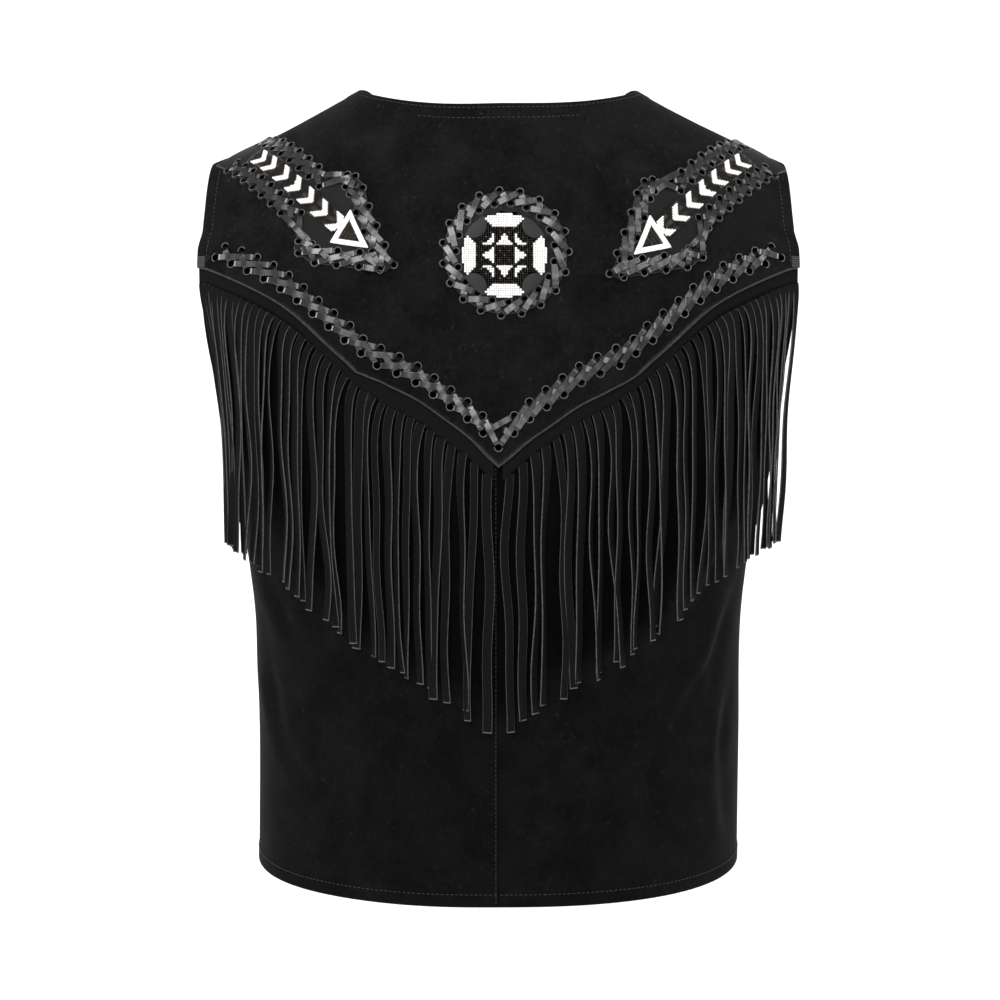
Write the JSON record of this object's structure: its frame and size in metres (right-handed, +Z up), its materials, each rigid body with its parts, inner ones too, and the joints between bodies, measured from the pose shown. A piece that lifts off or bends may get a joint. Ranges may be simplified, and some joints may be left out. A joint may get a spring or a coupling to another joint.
{
  "type": "western vest",
  "caption": "Open-fronted black suede vest with a V back yoke, long hanging fringe, woven lacing, a beaded rosette and beaded arrowheads.",
  "frame": {"origin": "midway between the two shoulders, at the height of the shoulder seams, where the wearer holds the vest up", "axes": "+X to the wearer's right, +Y to the wearer's front, +Z up; the back faces -Y"},
  "size_m": [0.4386, 0.2614, 0.5885],
  "materials": {
    "yoke_suede": "napped black suede",
    "panel_suede_left": "napped black suede",
    "panel_suede_right": "napped black suede",
    "fringe_suede_left": "black suede with paler cut edges",
    "fringe_suede_right": "black suede with paler cut edges",
    "lace_left": "glossy black leather lace",
    "lace_right": "glossy black leather lace",
    "rosette_applique": "glossy black leather with white and black beads",
    "arrow_applique_left": "glossy black leather with white and black beads",
    "arrow_applique_right": "glossy black leather with white and black beads"
  },
  "bodies": {
    "root": {"back_yoke": "yoke_suede", "back_left": "panel_suede_left", "back_right": "panel_suede_right", "front_left": "panel_suede_left", "front_right": "panel_suede_right", "fringe_left": "fringe_suede_left", "fringe_right": "fringe_suede_right", "lacing_left": "lace_left", "lacing_right": "lace_right", "rosette": "rosette_applique", "arrow_left": "arrow_applique_left", "arrow_right": "arrow_applique_right"}
  },
  "joints": []
}
